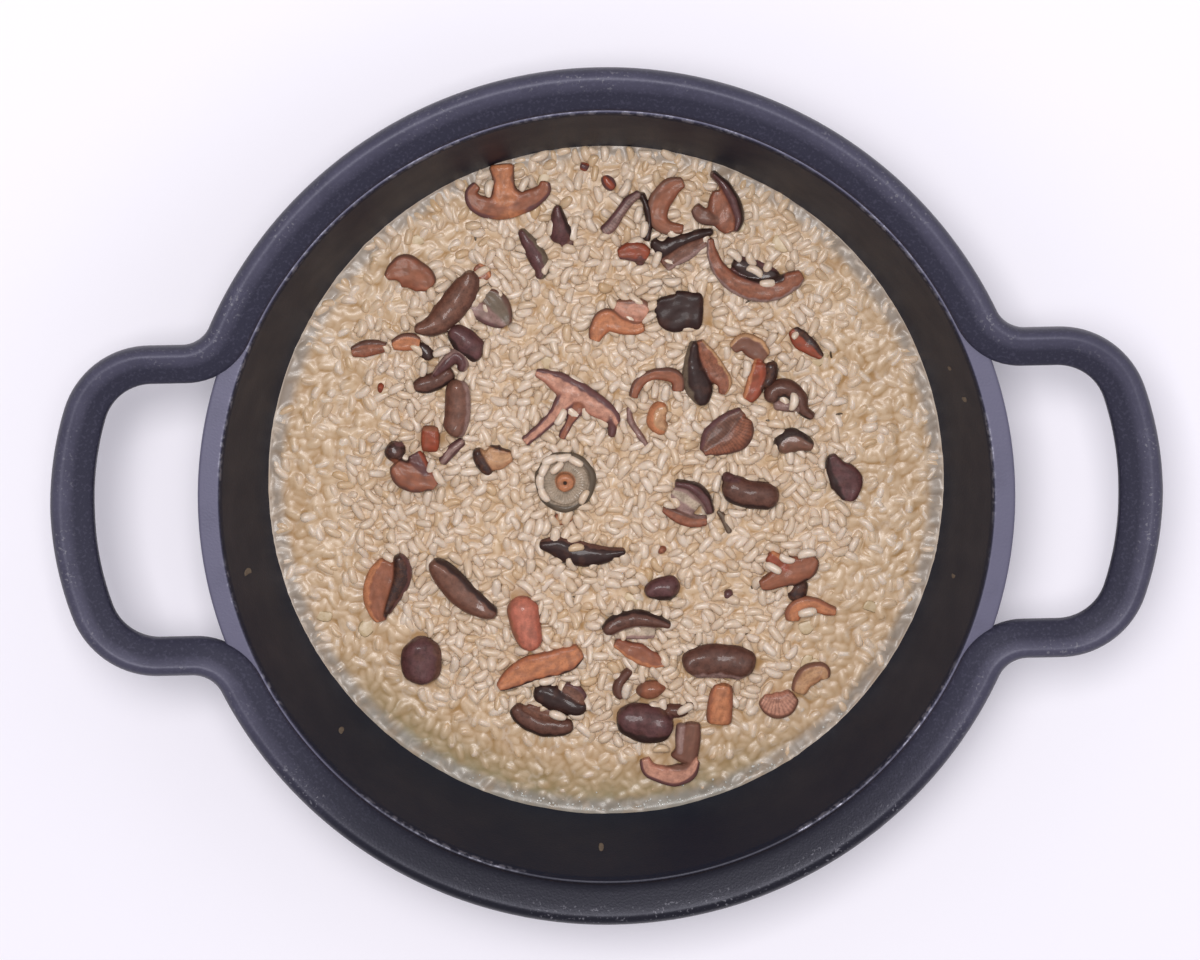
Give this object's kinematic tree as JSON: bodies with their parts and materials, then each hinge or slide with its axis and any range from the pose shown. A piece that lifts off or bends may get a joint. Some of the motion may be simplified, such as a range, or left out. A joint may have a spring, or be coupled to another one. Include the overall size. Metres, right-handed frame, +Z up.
{
  "type": "mushroom risotto in a pan",
  "caption": "Creamy rice with pieces of browned mushroom, served in a round black cast pan with a flat lip and a raised band that runs out into wide loop handles",
  "frame": {"origin": "centre of the pan's flat base, on the surface it stands on", "axes": "+Z up; +X along the line through the two handles; +Y across, towards the far side in the picture"},
  "size_m": [0.4306, 0.335, 0.0968],
  "materials": {
    "black_coat": "satin black coat on cast metal, worn bright along the lip's inner edge",
    "creamy_rice": "plump pale grains in glossy cream sauce",
    "mushroom_dark": "wet, dark brown skin",
    "mushroom_brown": "wet, mid brown skin and gills",
    "mushroom_orange": "wet, orange brown flesh",
    "mushroom_pink": "wet, pinkish brown flesh with a dark rim",
    "mushroom_olive": "wet, olive grey flesh"
  },
  "bodies": {
    "root": {"mushroom_anchor_slice": "mushroom_pink", "mushroom_arc_east": "mushroom_orange", "mushroom_arc_north": "mushroom_orange", "mushroom_arc_southeast": "mushroom_orange", "mushroom_arch_centre": "mushroom_orange", "mushroom_bar_centre": "mushroom_dark", "mushroom_bits_south": "mushroom_pink", "mushroom_block_south": "mushroom_orange", "mushroom_block_west": "mushroom_orange", "mushroom_boat_northeast": "mushroom_brown", "mushroom_boat_south": "mushroom_dark", "mushroom_cap_east": "mushroom_orange", "mushroom_cap_northeast": "mushroom_brown", "mushroom_cap_south": "mushroom_dark", "mushroom_cap_southwest": "mushroom_orange", "mushroom_cap_west": "mushroom_pink", "mushroom_chip_east": "mushroom_orange", "mushroom_chip_north": "mushroom_orange", "mushroom_chip_west": "mushroom_orange", "mushroom_chunk_east": "mushroom_olive", "mushroom_chunk_northwest": "mushroom_orange", "mushroom_crescent_centre_south": "mushroom_dark", "mushroom_crescent_northwest": "mushroom_dark", "mushroom_crescent_southwest": "mushroom_brown", "mushroom_curl_centre": "mushroom_brown", "mushroom_curl_southeast": "mushroom_orange", "mushroom_curl_west": "mushroom_dark", "mushroom_diamond_east": "mushroom_dark", "mushroom_fan_centre_north": "mushroom_orange", "mushroom_frill_north": "mushroom_dark", "mushroom_gilled_cap_east": "mushroom_brown", "mushroom_gilled_southeast": "mushroom_pink", "mushroom_hook_slice": "mushroom_pink", "mushroom_knob_east": "mushroom_dark", "mushroom_oval_southwest": "mushroom_dark", "mushroom_pentagon_east": "mushroom_dark", "mushroom_post_south": "mushroom_orange", "mushroom_ring_cap": "mushroom_olive", "mushroom_sausage_east": "mushroom_dark", "mushroom_sausage_northwest": "mushroom_dark", "mushroom_slab_northwest": "mushroom_olive", "mushroom_slab_south": "mushroom_dark", "mushroom_slice_north": "mushroom_orange", "mushroom_slice_northeast": "mushroom_dark", "mushroom_slice_south": "mushroom_pink", "mushroom_sliver_north": "mushroom_dark", "mushroom_stem_south": "mushroom_pink", "mushroom_strip_centre_west": "mushroom_brown", "mushroom_strip_west": "mushroom_brown", "mushroom_stub_centre": "mushroom_orange", "mushroom_stub_centre_south": "mushroom_dark", "mushroom_wedge_east": "mushroom_dark", "mushroom_wedge_north": "mushroom_dark", "mushroom_wedge_south": "mushroom_dark", "mushroom_wedge_west": "mushroom_orange", "pan": "black_coat", "rice": "creamy_rice"}
  },
  "joints": []
}
